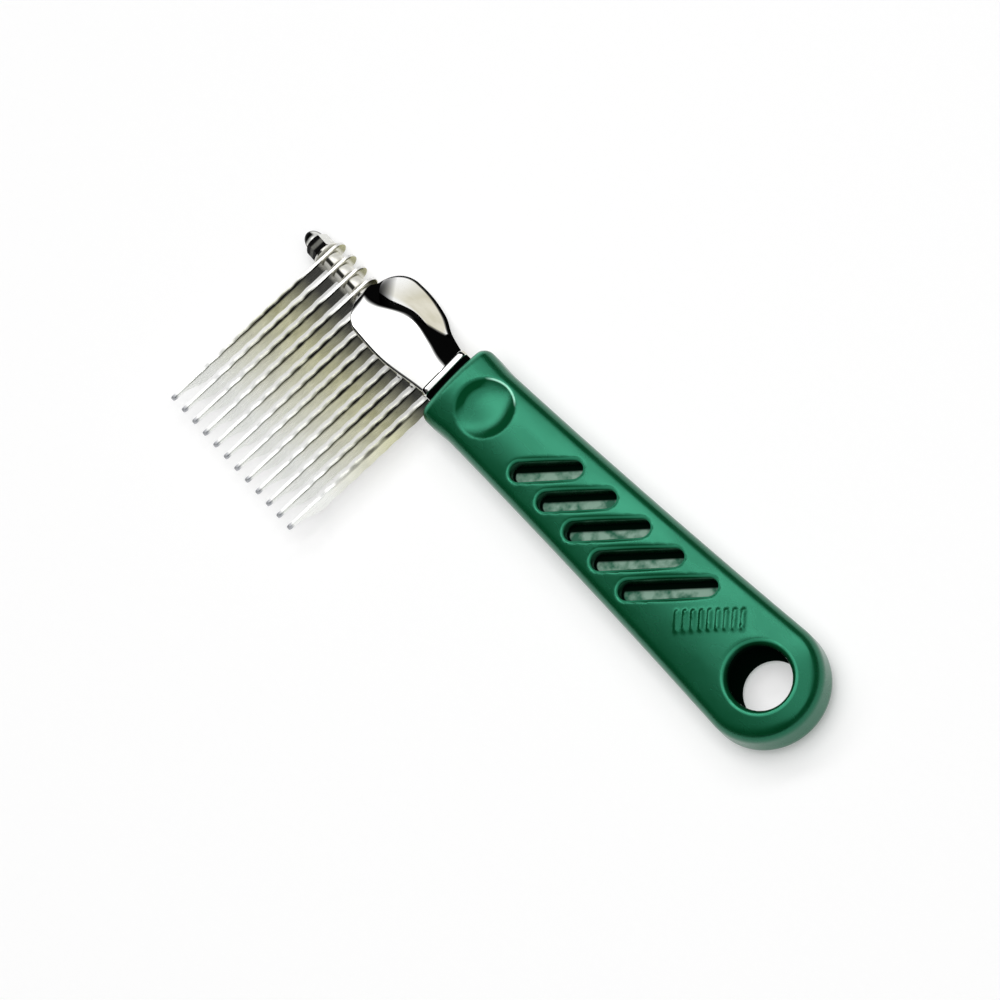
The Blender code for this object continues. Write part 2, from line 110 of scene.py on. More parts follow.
BORE_RADIUS = 1.8 * MM

# Thumb rest.
NECK_X = -0.6 * MM
NOSE_X = -33.4 * MM
NOSE_ROUND = 7.0 * MM
NOSE_Y = 3.5 * MM                   # the nose rounds off towards this height
NOSE_LEAN = 0.4                     # how far the nose leans out for each step down
LEAN_START = -17.0 * MM
NOSE_BULGE = 4.9 * MM               # height above the middle where the lean runs out
COLLAR_LENGTH = 1.8 * MM
COLLAR_LOW = -7.1 * MM
COLLAR_HIGH = 6.8 * MM
COLLAR_HALF_Z = 6.3 * MM
COLLAR_CORNER = 1.6 * MM
CHANNEL_HALF = BLADE_HALF_DEPTH + WAVE_DEPTH + GAP      # tunnel over the blades
BOSS_HALF_Y = 5.2 * MM
BOSS_HALF_Z = 3.9 * MM
BOSS_END = 3.5 * MM                 # how deep the boss goes into the handle's socket
TIP_WAY = (1, 1.6, 0)               # the pad's tip and neck carry painted dark reflection past lines across these
TIP_START = -18.5 * MM
NECK_WAY = (1, -3.3, 0)
NECK_START = -32.4 * MM

# Camera.
VIEW_TILT = radians(27)             # from straight down, leaning towards the butt
VIEW_ROLL = radians(44.14)
VIEW_WIDTH = 231.5 * MM             # width of the picture at the comb
VIEW_DISTANCE = 4.0
VIEW_CENTRE = (29.2 * MM, -12.2 * MM, 0)     # from the middle of the handle's front end
SENSOR_WIDTH = 36.0

# Studio air: dark at the horizon and bright overhead, with the change between two heights.
CEILING = 1.3
HORIZON = 0.008
CEILING_START = radians(38)
CEILING_FULL = radians(52)

# Colours, as linear red, green and blue.
GREEN_DEEP = (0.0014, 0.046, 0.014, 1)
GREEN_LIGHT = (0.0024, 0.058, 0.020, 1)
GREEN_RIM_HIGHLIGHT = (0.030, 0.220, 0.120, 1)        # painted highlight round the openings' mouths
GREEN_FRONT_HIGHLIGHT = (0.090, 0.400, 0.250, 1)      # painted highlight along the front edge
GREEN_GLINT = (0.420, 0.780, 0.620, 1)      # on the dimple's rim
# painted shade inside the openings
GREEN_RECESS_SHADE = (0.0004, 0.0040, 0.0018, 1)
FLOOR_LIT_GREEN = (0.035, 0.130, 0.080, 1)      # painted light on the lit part of the slots' floors
FLOOR_LIT_STREAK = (0.230, 0.360, 0.285, 1)
GREEN_SHINE = (0.17, 1.0, 0.63, 1)          # tint of the plastic's reflections
NO_SHINE = (0.0, 0.0, 0.0, 1)
PLATING_DULL = (0.90, 0.90, 0.88, 1)
PLATING_BRIGHT = (0.94, 0.94, 0.92, 1)
# painted shaded reflection on the pad, which faces up
PAD_SHADE_DARK = (0.60, 0.57, 0.44, 1)
PAD_SHADE_LIGHT = (0.72, 0.69, 0.58, 1)
PLATING_PAINTED_DARK = (0.002, 0.002, 0.002, 1)             # painted dark reflection and shade on the plating
OLIVE_PALE = (0.70, 0.69, 0.47, 1)          # the blades' broad sides
OLIVE_DEEP = (0.46, 0.45, 0.27, 1)
# painted shade near the rod and painted light at the tips, on the blades' sides
SIDE_SHADE_BY_ROD = (0.035, 0.035, 0.028, 1)
SIDE_LIGHT_AT_TIP = (0.92, 0.93, 0.90, 1)
SIDE_TOP = (0.40, 0.39, 0.24, 1)
# painted shade: a dark line along the blades' sides
SIDE_PAINTED_SHADE = (0.020, 0.020, 0.014, 1)
EDGE_HIGHLIGHT_HEAD = (0.94, 0.94, 0.91, 1)           # painted highlight on the blades' narrow edges
EDGE_HIGHLIGHT_MIDDLE = (0.58, 0.59, 0.45, 1)
EDGE_HIGHLIGHT_TIP = (0.94, 0.95, 0.93, 1)
# painted shade: a dark line along the blades' edges
EDGE_PAINTED_SHADE = (0.030, 0.030, 0.022, 1)
NIB_GREY = (0.42, 0.43, 0.45, 1)
STEEL_CREAM = (0.90, 0.89, 0.80, 1)
STEEL_BRIGHT = (0.95, 0.94, 0.88, 1)
# painted dark reflection on the spacers and the rod
STEEL_DARK_REFLECTION = (0.012, 0.012, 0.009, 1)
# painted highlights and painted dark reflection on the nut
NUT_HIGHLIGHT = (0.88, 0.88, 0.84, 1)
NUT_DARK_REFLECTION = (0.003, 0.003, 0.003, 1)
NUT_GREY_HIGHLIGHT = (0.10, 0.10, 0.09, 1)
PAPER_GREY = (0.70, 0.70, 0.70, 1)
PAPER_PALE = (0.73, 0.73, 0.73, 1)
WHITE = (1.0, 1.0, 1.0, 1)


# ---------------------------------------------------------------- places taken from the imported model

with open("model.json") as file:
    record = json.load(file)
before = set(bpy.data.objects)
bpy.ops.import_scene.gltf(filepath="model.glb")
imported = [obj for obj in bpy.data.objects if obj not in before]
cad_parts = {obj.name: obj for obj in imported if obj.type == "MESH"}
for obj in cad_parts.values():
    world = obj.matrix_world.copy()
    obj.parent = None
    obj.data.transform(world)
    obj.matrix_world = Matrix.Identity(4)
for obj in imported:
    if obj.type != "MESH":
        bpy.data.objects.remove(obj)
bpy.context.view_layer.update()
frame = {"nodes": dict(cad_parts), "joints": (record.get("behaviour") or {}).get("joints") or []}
handle_low, handle_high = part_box("handle")
handle_middle = (handle_low + handle_high) / 2
HANDLE_ZERO = Vector((handle_low.x, handle_middle.y, handle_middle.z))
HANDLE_LENGTH = handle_high.x - handle_low.x
handle_matrix = Matrix.Translation(HANDLE_ZERO)

nut_joint = next(joint for joint in frame["joints"] if joint["name"] == "nut_turn")
NUT_MOUTH = Vector(nut_joint["pos_m"])
ROD_WAY = -Vector(nut_joint["axis"]).normalized()      # along the rod towards the handle
ROD_SIDE = Vector((0, 0, 1)).cross(ROD_WAY).normalized()


def rod_matrix_at(distance):
    """Frame on the rod at a distance from the nut's mouth: X runs towards the handle and Z is up."""
    place = NUT_MOUTH + ROD_WAY * distance
    turn = Matrix((ROD_WAY, ROD_SIDE, (0, 0, 1))).transposed().to_4x4()
    return Matrix.Translation(place) @ turn


def along_rod(node):
    """How far the middle of a node on the rod lies from the nut's mouth."""
    low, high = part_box(node)
    return ((low + high) / 2 - NUT_MOUTH).dot(ROD_WAY)


def blade_place(node):
    """Middle of a blade along the rod; the top of its head is the blade's furthest corner along X."""
    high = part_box(node)[1]
    return (high.x - NUT_MOUTH.x - ROD_SIDE.x * BLADE_HEAD) / ROD_WAY.x - BLADE_THICKNESS / 2


# ---------------------------------------------------------------- mesh helpers

def mesh_object(name, bm, material=None, matrix=None, smooth_angle=SHARP_ANGLE):
    """Turn a bmesh into an object; a matrix moves its points, so the object stays at the origin."""
    bmesh.ops.recalc_face_normals(bm, faces=bm.faces)
    mesh = bpy.data.meshes.new(name)
    bm.to_mesh(mesh)
    bm.free()
    mesh.shade_smooth()
    mesh.set_sharp_from_angle(angle=smooth_angle)
    obj = bpy.data.objects.new(name, mesh)
    bpy.context.scene.collection.objects.link(obj)
    if material:
        mesh.materials.append(material)
    if matrix:
        mesh.transform(matrix)
    return obj


def loft(rings):
    """Closed skin over rings that all have the same number of points."""
    bm = bmesh.new()
    loops = [[bm.verts.new(point) for point in ring] for ring in rings]
    count = len(loops[0])
    for low, high in zip(loops, loops[1:]):
        for i in range(count):
            j = (i + 1) % count
            bm.faces.new((low[i], low[j], high[j], high[i]))
    bm.faces.new(loops[0])
    bm.faces.new(loops[-1])
    return bm


def turned(profile, sides):
    """Turn a closed profile of (x, radius) points about the X axis."""
    bm = bmesh.new()
    rings = []
    for k in range(sides):
        turn = Matrix.Rotation(2 * pi * k / sides, 3, "X")
        rings.append([bm.verts.new(turn @ Vector((x, 0, r))) for x, r in profile])
    for k, ring in enumerate(rings):
        following = rings[(k + 1) % sides]
        for i in range(len(profile)):
            j = (i + 1) % len(profile)
            bm.faces.new((ring[i], ring[j], following[j], following[i]))
    return bm


def arc(centre, radius, start, end, steps):
    """Points of an arc from one angle to another, both ends included."""
    turn = (end - start) / steps
    angles = [start + turn * k for k in range(steps + 1)]
    return [Vector((centre[0] + radius * cos(a), centre[1] + radius * sin(a))) for a in angles]


def around(steps):
    """Angles that go once round in equal steps."""
    return [2 * pi * k / steps for k in range(steps)]


def boolean(target, tool, operation="DIFFERENCE"):
    modifier = target.modifiers.new(tool.name, "BOOLEAN")
    modifier.operation = operation
    modifier.object = tool
    modifier.solver = "EXACT"


def settle(obj, helpers, smooth_angle):
    """Apply every modifier of a piece and throw its helpers away."""
    bpy.context.view_layer.update()
    graph = bpy.context.evaluated_depsgraph_get()
    mesh = bpy.data.meshes.new_from_object(obj.evaluated_get(graph), depsgraph=graph)
    mesh.name = obj.name
    obj.modifiers.clear()
    obj.data = mesh
    mesh.shade_smooth()
    mesh.set_sharp_from_angle(angle=smooth_angle)
    for helper in helpers:
        bpy.data.objects.remove(helper, do_unlink=True)


def ease(t):
    """Smooth step from 0 to 1."""
    t = min(max(t, 0.0), 1.0)
    return t * t * (3 - 2 * t)


def ramp(x, points):
    """Smooth value at x between (x, value) points listed from the neck towards the nose."""
    for (x0, v0), (x1, v1) in zip(points, points[1:]):
        if x >= x1:
            return v0 + (v1 - v0) * ease((x - x0) / (x1 - x0))
    return points[-1][1]


# ---------------------------------------------------------------- materials

class Nodes:
    """Small helper that builds a node tree, one node per call."""

    def __init__(self, owner, shader="Principled BSDF"):
        owner.use_nodes = True
        self.tree = owner.node_tree
        self.shader = self.tree.nodes[shader]

    def add(self, kind, **settings):
        node = self.tree.nodes.new(kind)
        for key, value in settings.items():
            setattr(node, key, value)
        return node

    def put(self, value, socket):
        """Give a socket a number or colour of its own, or link it to another socket."""
        if isinstance(value, (int, float, tuple)):
            socket.default_value = value
        else:
            self.tree.links.new(value, socket)

    def surface(self, name, value):
        """Set or link one of the shader's own sockets."""
        self.put(value, self.shader.inputs[name])

    def into(self, vector, matrix):
        """The vector seen from a frame."""
        node = self.add("ShaderNodeMapping", vector_type="TEXTURE")
        node.inputs["Location"].default_value = matrix.to_translation()
        node.inputs["Rotation"].default_value = matrix.to_euler()
        self.put(vector, node.inputs["Vector"])
        return node.outputs["Vector"]

    def coordinates(self, matrix):
        """The place in a frame; the pieces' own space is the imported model's frame at rest."""
        return self.into(self.add("ShaderNodeTexCoord").outputs["Object"], matrix)

    def facing(self, matrix):
        """The surface direction in a frame."""
        turn = matrix.to_3x3().to_4x4()
        return self.into(self.add("ShaderNodeTexCoord").outputs["Normal"], turn)

    def stored(self, name):
        """A value stored on the mesh."""
        return self.add("ShaderNodeAttribute", attribute_name=name).outputs["Fac"]

    def grazing(self, blend):
        """Near 1 where the surface turns away from the eye."""
        weight = self.add("ShaderNodeLayerWeight")
        weight.inputs["Blend"].default_value = blend
        return weight.outputs["Facing"]

    def noise(self, where, scale, detail):
        node = self.add("ShaderNodeTexNoise")
        node.inputs["Scale"].default_value = scale
        node.inputs["Detail"].default_value = detail
        self.put(where, node.inputs["Vector"])
        return node.outputs["Fac"]

    def stretched(self, where, scale):
        node = self.add("ShaderNodeMapping")
        node.inputs["Scale"].default_value = scale
        self.put(where, node.inputs["Vector"])
        return node.outputs["Vector"]

    def remap(self, value, low, high, to_low=0.0, to_high=1.0, kind="LINEAR"):
        """The value carried from the first range to the second and held at the ends."""
        node = self.add("ShaderNodeMapRange", interpolation_type=kind)
        numbers = {"From Min": low, "From Max": high, "To Min": to_low, "To Max": to_high}
        for name, number in numbers.items():
            node.inputs[name].default_value = number
        self.put(value, node.inputs["Value"])
        return node.outputs["Result"]

    def mix(self, factor, first, second):
        """Mix of two colours; the node's colour sockets share their names, so they go by number."""
        node = self.add("ShaderNodeMix", data_type="RGBA")
        self.put(factor, node.inputs[0])
        self.put(first, node.inputs[6])
        self.put(second, node.inputs[7])
        return node.outputs[2]

    def bump(self, height, strength, distance):
        node = self.add("ShaderNodeBump")
        node.inputs["Strength"].default_value = strength
        node.inputs["Distance"].default_value = distance
        self.put(height, node.inputs["Height"])
        self.surface("Normal", node.outputs["Normal"])

    def axis(self, vector, name):
        """One component of a vector."""
        split = self.add("ShaderNodeSeparateXYZ")
        self.put(vector, split.inputs["Vector"])
        return split.outputs[name]

    def component(self, vector, way):
        """How far the vector reaches along a direction."""
        node = self.add("ShaderNodeVectorMath", operation="DOT_PRODUCT")
        node.inputs[1].default_value = way
        self.put(vector, node.inputs[0])
        return node.outputs["Value"]

    def maths(self, operation, *values):
        node = self.add("ShaderNodeMath", operation=operation)
        for value, socket in zip(values, node.inputs):
            self.put(value, socket)
        return node.outputs["Value"]

    def absolute(self, value):
        return self.maths("ABSOLUTE", value)

    def multiply(self, first, second):
        return self.maths("MULTIPLY", first, second)

    def largest(self, first, second):
        return self.maths("MAXIMUM", first, second)

    def folded(self, value, middle, pitch):
        """Distance from the nearest of the places that repeat at a pitch from the middle, signed."""
        shifted = self.maths("SUBTRACT", value, middle - pitch / 2)
        return self.maths("SUBTRACT", self.maths("FLOORED_MODULO", shifted, pitch), pitch / 2)

    def band(self, value, middle, flat, fade):
        """1 within flat of the middle, falling to 0 over the fade."""
        off_middle = self.absolute(self.maths("SUBTRACT", value, middle))
        return self.remap(off_middle, flat, flat + fade, 1.0, 0.0)


def green_plastic(name="green_plastic", gloss=0.5):
    """Moulded plastic with painted light and shade: black in the recesses, pale streaks on the lit part
    of the slots' floors, highlights round their mouths and along the front edge, a glint and shade on
    the dimple.
    """
    material = bpy.data.materials.new(name)
    n = Nodes(material)
    where = n.coordinates(handle_matrix)
    cloud = n.noise(where, 60.0, 4.0)
    body = n.mix(n.remap(cloud, 0.3, 0.7), GREEN_DEEP, GREEN_LIGHT)
    level = n.absolute(n.axis(n.facing(handle_matrix), "Z"))
    outside = n.stored("outside")
    sunk = n.stored("sunk")
    dimple = n.stored("dimple")

    # painted highlight: a pale green ring just outside each opening's mouth
    round_mouth = n.band(outside, 0.35 * MM, 0.15 * MM, 0.30 * MM)
    rim = n.multiply(round_mouth, n.remap(sunk, 0.7 * MM, 0.4 * MM))
    body = n.mix(rim, body, GREEN_RIM_HIGHLIGHT)
    x = n.axis(where, "X")
    # painted highlight: a light band along the front edge of the broad face
    front = n.multiply(n.band(x, 1.3 * MM, 0.3 * MM, 0.9 * MM), n.remap(level, 0.5, 0.9))
    body = n.mix(front, body, GREEN_FRONT_HIGHLIGHT)
    mid_dimple = n.band(x, DIMPLE_X, 2.5 * MM, 2.5 * MM)
    shade = n.multiply(n.band(dimple, 0.84, 0.10, 0.16), n.remap(mid_dimple, 0.0, 1.0, 1.0, 0.0))
    far_side = n.remap(n.axis(where, "Y"), 5.6 * MM, 6.8 * MM)
    glint = n.multiply(n.band(dimple, 0.98, 0.015, 0.03), far_side)
    body = n.mix(glint, body, GREEN_GLINT)

    # painted light on one side of each slot's floor; the floor by the other wall stays black as its
    # painted shadow
    slot_floor = n.multiply(n.remap(level, 0.80, 0.95), n.remap(sunk, 2.8 * MM, 3.3 * MM))
    across = n.component(where, (sin(SLOT_ANGLE), -cos(SLOT_ANGLE), 0))
    from_middle = n.folded(across, SLOT_FIRST_X * sin(SLOT_ANGLE), SLOT_PITCH * sin(SLOT_ANGLE))
    lit_floor = n.multiply(slot_floor, n.remap(from_middle, -1.0 * MM, -0.5 * MM))
    streak = n.noise(n.stretched(where, (120.0, 120.0, 40.0)), 3.0, 5.0)
    lit_floor_colour = n.mix(n.remap(streak, 0.34, 0.58), FLOOR_LIT_GREEN, FLOOR_LIT_STREAK)
    # painted shade: black inside the openings, below their mouths
    recess_shade = n.remap(outside, 0.05 * MM, -RECESS_IN)
    recess_shade = n.multiply(recess_shade, n.remap(sunk, 0.4 * MM, RECESS_DOWN))
    body = n.mix(lit_floor, n.mix(recess_shade, body, GREEN_RECESS_SHADE), lit_floor_colour)
    n.surface("Base Color", body)

    n.surface("Specular Tint", n.mix(n.multiply(shade, shade), GREEN_SHINE, NO_SHINE))
    n.surface("Specular IOR Level", gloss)
    grain = n.noise(where, 2600.0, 2.0)
    smear = n.noise(n.stretched(where, (40.0, 90.0, 60.0)), 2.0, 3.0)
    n.surface("Roughness", n.remap(smear, 0.3, 0.7, 0.20, 0.30))
    n.bump(grain, 0.10, 0.00006)
    n.surface("IOR", 1.92)
    return material


def chrome():
    """Mirror plating with a painted shaded reflection on the pad, and painted dark reflection and shade:
    black below the crest, at the pad's tip, on the neck and on the boss.
    """
    material = bpy.data.materials.new("chrome")
    n = Nodes(material)
    where = n.coordinates(handle_matrix)
    x = n.axis(where, "X")
    way = n.facing(handle_matrix)
    upward = n.axis(way, "Y")
    haze = n.noise(where, 160.0, 4.0)
    bright = n.mix(n.remap(haze, 0.35, 0.65), PLATING_DULL, PLATING_BRIGHT)
    # painted shaded reflection: darker beige where the plating faces up, on the pad
    pad_shade = n.mix(n.remap(haze, 0.35, 0.65), PAD_SHADE_DARK, PAD_SHADE_LIGHT)
    plated = n.mix(n.remap(upward, 0.66, 0.80), bright, pad_shade)
    # painted dark reflection along the crest
    crest_shade = n.remap(n.stored("below_crest"), 1.20 * MM, 0.90 * MM)
    # painted shadow: black on the boss in the gap between the collar and the handle
    boss = n.remap(x, NECK_X - 0.06 * MM, NECK_X - 0.03 * MM)
    on_top = n.multiply(n.remap(upward, 0.16, 0.32), n.remap(n.axis(way, "Z"), -0.45, -0.2))
    collar = NECK_X - COLLAR_LENGTH
    before_collar = n.remap(x, collar + 0.05 * MM, collar)
    # painted dark reflection on the neck and at the pad's tip
    neck = n.remap(n.component(where, NECK_WAY), NECK_START, NECK_START + 2.4 * MM)
    tip = n.remap(n.component(where, TIP_WAY), TIP_START, TIP_START - 6 * MM)
    shaded = n.multiply(n.multiply(n.largest(n.largest(neck, tip), crest_shade), on_top), before_collar)
    black = n.largest(boss, shaded)
    n.surface("Base Color", n.mix(black, n.mix(black, plated, PLATING_PAINTED_DARK), PLATING_PAINTED_DARK))
    n.surface("Metallic", n.remap(black, 0.97, 1.0, 1.0, 0.0))
    n.surface("Specular IOR Level", 0.0)
    n.surface("Roughness", n.remap(haze, 0.3, 0.7, 0.045, 0.10))
    n.bump(n.noise(where, 260.0, 2.0), 0.05, 0.00008)
    return material


def blade_steel():
    """Pale ground edges, a painted highlight, over a painted dark line of shade; sides with painted
    shade by the rod, a painted highlight round it, olive below and painted light at the tips.
    """
    material = bpy.data.materials.new("blade_steel")
    n = Nodes(material)
    rod = rod_matrix_at(0.0)
    where = n.coordinates(rod)
    lengthwise = n.noise(n.stretched(where, (900.0, 25.0, 900.0)), 4.0, 3.0)
    stain = n.noise(where, 220.0, 4.0)
    along = n.axis(where, "Y")
    olive = n.mix(n.remap(stain, 0.4, 0.7), OLIVE_PALE, OLIVE_DEEP)
    # painted shade near the rod, painted light towards the tips
    side = n.mix(n.remap(along, -7 * MM, -17 * MM), SIDE_SHADE_BY_ROD, olive)
    side = n.mix(n.remap(along, -18 * MM, -38 * MM), side, SIDE_LIGHT_AT_TIP)
    # painted highlight on the blades' heads round the rod
    side = n.mix(n.remap(along, -3.5 * MM, -1.5 * MM), side, STEEL_CREAM)
    side = n.mix(n.remap(along, 2.6 * MM, 3.4 * MM), side, SIDE_TOP)

    # painted shade: a dark line along each blade beside its pale edge, along the middle of its length
    dark_line_shade = n.multiply(n.remap(along, -6 * MM, -9 * MM), n.remap(along, -20 * MM, -37 * MM, 1.0, 0.0))
    dark_line_shade = n.multiply(dark_line_shade, n.remap(n.noise(where, 260.0, 2.0), 0.36, 0.52, 0.55, 1.0))
    lip = n.remap(n.axis(where, "Z"), BLADE_HALF_DEPTH - 1.1 * MM, BLADE_HALF_DEPTH - 0.6 * MM)
    lip = n.multiply(dark_line_shade, lip)
    side = n.mix(lip, side, SIDE_PAINTED_SHADE)

    # painted highlight on the edges, dimmer at mid-length
    pale = n.mix(n.remap(along, -6 * MM, -14 * MM), EDGE_HIGHLIGHT_HEAD, EDGE_HIGHLIGHT_MIDDLE)
    pale = n.mix(n.remap(along, -22 * MM, -36 * MM), pale, EDGE_HIGHLIGHT_TIP)
    across = n.folded(n.axis(where, "X"), blade_place("blade_12"), BLADE_PITCH)
    handle_side = n.remap(across, -0.10 * MM, 0.08 * MM)
    edge = n.mix(n.multiply(dark_line_shade, handle_side), pale, EDGE_PAINTED_SHADE)
    flat = n.remap(n.absolute(n.axis(n.facing(rod), "X")), 0.70, 0.90)
    nib = n.remap(along, -BLADE_LENGTH + 1.8 * MM, -BLADE_LENGTH + 1.0 * MM)
    n.surface("Base Color", n.mix(nib, n.mix(flat, edge, side), NIB_GREY))
    n.surface("Metallic", n.remap(flat, 0.0, 1.0, 0.25, 1.0))
    n.surface("Roughness", n.remap(lengthwise, 0.3, 0.7, 0.22, 0.36))
    n.bump(lengthwise, 0.12, 0.00005)
    return material


def bright_steel():
    """Turned steel, pale all round but for a painted dark reflection, a dark streak on the side of the
    teeth.
    """
    material = bpy.data.materials.new("bright_steel")
    n = Nodes(material)
    rod = rod_matrix_at(0.0)
    where = n.coordinates(rod)
    way = n.facing(rod)
    turning = n.noise(n.stretched(where, (1500.0, 60.0, 60.0)), 3.0, 2.0)
    pale = n.mix(n.remap(turning, 0.3, 0.7), STEEL_CREAM, STEEL_BRIGHT)
    # painted dark reflection: a streak on the side of the teeth
    low_side = n.band(n.axis(way, "Y"), -0.27, 0.14, 0.12)
    streak = n.multiply(low_side, n.band(n.axis(way, "X"), 0.0, 0.4, 0.2))
    n.surface("Base Color", n.mix(streak, pale, STEEL_DARK_REFLECTION))
    n.surface("Metallic", n.remap(streak, 0.0, 1.0, 0.35, 0.0))
    n.surface("Roughness", n.remap(turning, 0.3, 0.7, 0.32, 0.45))
    n.bump(turning, 0.08, 0.00004)
    return material


def nut_plate():
    """Hexagon painted black as a dark reflection, with a painted grey highlight round its middle and a
    painted highlight on one side, under a dome painted bright as a highlight, with a painted dark
    outline and end.
    """
    material = bpy.data.materials.new("nut_plate")
    n = Nodes(material)
    rod = rod_matrix_at(0.0)
    where = n.coordinates(rod)
    way = n.facing(rod)
    upward = n.axis(way, "Y")
    x = n.axis(where, "X")
    # painted grey highlight round the hexagon's middle and a painted highlight on its upper side
    grey_highlight = n.mix(n.band(x, -NUT_HEX_LENGTH / 2, 0.35 * MM, 0.40 * MM), NUT_DARK_REFLECTION, NUT_GREY_HIGHLIGHT)
    flats = n.mix(n.remap(upward, 0.30, 0.50), grey_highlight, NUT_HIGHLIGHT)
    # painted dark reflection: outline and end of the bright dome
    outline = n.remap(n.grazing(0.5), 0.50, 0.72, 0.0, 0.7)
    end = n.multiply(n.remap(n.axis(way, "X"), -0.10, -0.25), n.remap(upward, 0.45, 0.25))
    dome = n.mix(n.largest(outline, end), NUT_HIGHLIGHT, NUT_DARK_REFLECTION)
    hexagon = n.remap(x, -NUT_HEX_LENGTH - 0.1 * MM, -NUT_HEX_LENGTH)
    n.surface("Base Color", n.mix(hexagon, dome, flats))
    n.surface("Metallic", 0.3)
    n.surface("Specular IOR Level", 0.0)
    n.surface("Roughness", n.remap(n.noise(where, 900.0, 3.0), 0.3, 0.7, 0.18, 0.30))
    n.bump(n.noise(where, 1400.0, 2.0), 0.05, 0.00005)
    return material


def floor_paper():
    """White paper that glows a little, as an evenly lit background does."""
    material = bpy.data.materials.new("floor_paper")
    n = Nodes(material)
    fibre = n.noise(n.coordinates(Matrix()), 700.0, 4.0)
    n.surface("Base Color", n.mix(fibre, PAPER_GREY, PAPER_PALE))
    n.surface("Roughness", 0.9)
    n.surface("Specular IOR Level", 0.1)
    n.surface("Emission Color", WHITE)
    n.surface("Emission Strength", 0.30)
    return material


# ---------------------------------------------------------------- handle

def handle_outline():
    """Plan outline of the handle, anticlockwise."""
    butt_x = HANDLE_LENGTH - BUTT_RADIUS
    side_end = Vector((butt_x - BUTT_RADIUS * sin(BUTT_TANGENT), BUTT_RADIUS * cos(BUTT_TANGENT)))
    side_start = Vector((CORNER, FRONT_HALF))
    waist = Vector((WAIST_X, WAIST_HALF))
    reach = (side_end.x - waist.x) / 3
    waist_slope = Vector((1, 0.0255))
    butt_slope = Vector((1, BUTT_TANGENT))
    front = interpolate_bezier(side_start, side_start + Vector((2 * MM, 0)),
                               waist - waist_slope * 2 * MM, waist, 8)
    flank = interpolate_bezier(waist, waist + waist_slope * reach,
                               side_end - butt_slope * reach, side_end, 40)
    shoulder_y = FRONT_HALF - CORNER
    upper = [Vector((0, shoulder_y - k * MM)) for k in range(int(shoulder_y / MM), 0, -1)]
    upper += arc((CORNER, shoulder_y), CORNER, pi, pi / 2, 10)
    upper += [Vector(p[:2]) for p in front[1:]] + [Vector(p[:2]) for p in flank[1:]]
    butt = arc((butt_x, 0), BUTT_RADIUS, pi / 2 + BUTT_TANGENT, -pi / 2 - BUTT_TANGENT, 60)
    lower = [Vector((p.x, -p.y)) for p in reversed(upper)]
    return list(reversed(upper + butt[1:-1] + lower))


def inset_outline(outline, distance):
    """The outline moved to its left-hand side by the distance, point by point."""
    moved = []
    count = len(outline)
    for i, point in enumerate(outline):
        along = (outline[(i + 1) % count] - outline[i - 1]).normalized()
        moved.append(point + Vector((-along.y, along.x)) * distance)
    return moved


def crown_scale(x, y):
    """How much the crown lowers the handle at a place in plan, as a factor on its height."""
    butt_x = HANDLE_LENGTH - BUTT_RADIUS
    along = min(max((x - WAIST_X) / (butt_x - WAIST_X), 0.0), 1.0)
    half_width = WAIST_HALF + (BUTT_RADIUS - WAIST_HALF) * along
    from_spine = Vector((max(x - butt_x, 0.0), y)).length
    return 1 - CROWN / HANDLE_HALF_HEIGHT * (from_spine / half_width) ** 2


def face_height(x, y):
    """Height of the broad face at a place in plan."""
    return HANDLE_HALF_HEIGHT * crown_scale(x, y)


def handle_block():
    """Rounded slab; its rings are insets of the plan outline and close in on the faces' spines."""
    outline = handle_outline()
    profile = [(0.0, (HANDLE_HALF_HEIGHT - EDGE_DROP) * k / 3) for k in range(3)]
    for k in range(13):
        turn = pi / 2 * k / 12
        profile.append((EDGE_INSET * (1 - cos(turn)), HANDLE_HALF_HEIGHT - EDGE_DROP * (1 - sin(turn))))
    side = [[(p.x, p.y, h) for p in inset_outline(outline, i)] for i, h in profile]
    shoulder = inset_outline(outline, EDGE_INSET)
    spine = [min(max(p.x, 8 * MM), HANDLE_LENGTH - BUTT_RADIUS) for p in shoulder]
    steps = 10
    face = []
    for k in range(1, steps + 1):
        share = 0.98 * k / steps
        face.append([(p.x + (x - p.x) * share, p.y * (1 - share), HANDLE_HALF_HEIGHT)
                     for p, x in zip(shoulder, spine)])
    upper = side[1:] + face
    rings = [[(x, y, -z) for x, y, z in ring] for ring in reversed(upper)] + [side[0]] + upper
    crowned = [[(x, y, z * crown_scale(x, y)) for x, y, z in ring] for ring in rings]
    return mesh_object("handle_shell", loft(crowned))


def hole_cutter():
    """Spool with a rounded flare towards both broad faces."""
    rim = face_height(HOLE_X, HOLE_WIDTH / 2)
    levels = [(rim + 2 * MM, HOLE_FLARE + 1.2 * MM), (rim + 0.3 * MM, HOLE_FLARE + 0.5 * MM)]
    for k in range(7):
        turn = pi / 2 * k / 6
        levels.append((rim - HOLE_FLARE * sin(turn), HOLE_FLARE * (1 - sin(turn)) ** 1.4))
    levels = [(-h, f) for h, f in levels] + [(h, f) for h, f in reversed(levels)]
    rings = []
    for height, flare in levels:
        reach_x = HOLE_LENGTH / 2 + flare
        reach_y = HOLE_WIDTH / 2 + flare
        rings.append([(HOLE_X + reach_x * cos(a), reach_y * sin(a), height) for a in around(72)])
    return mesh_object("hole_cutter", loft(rings))


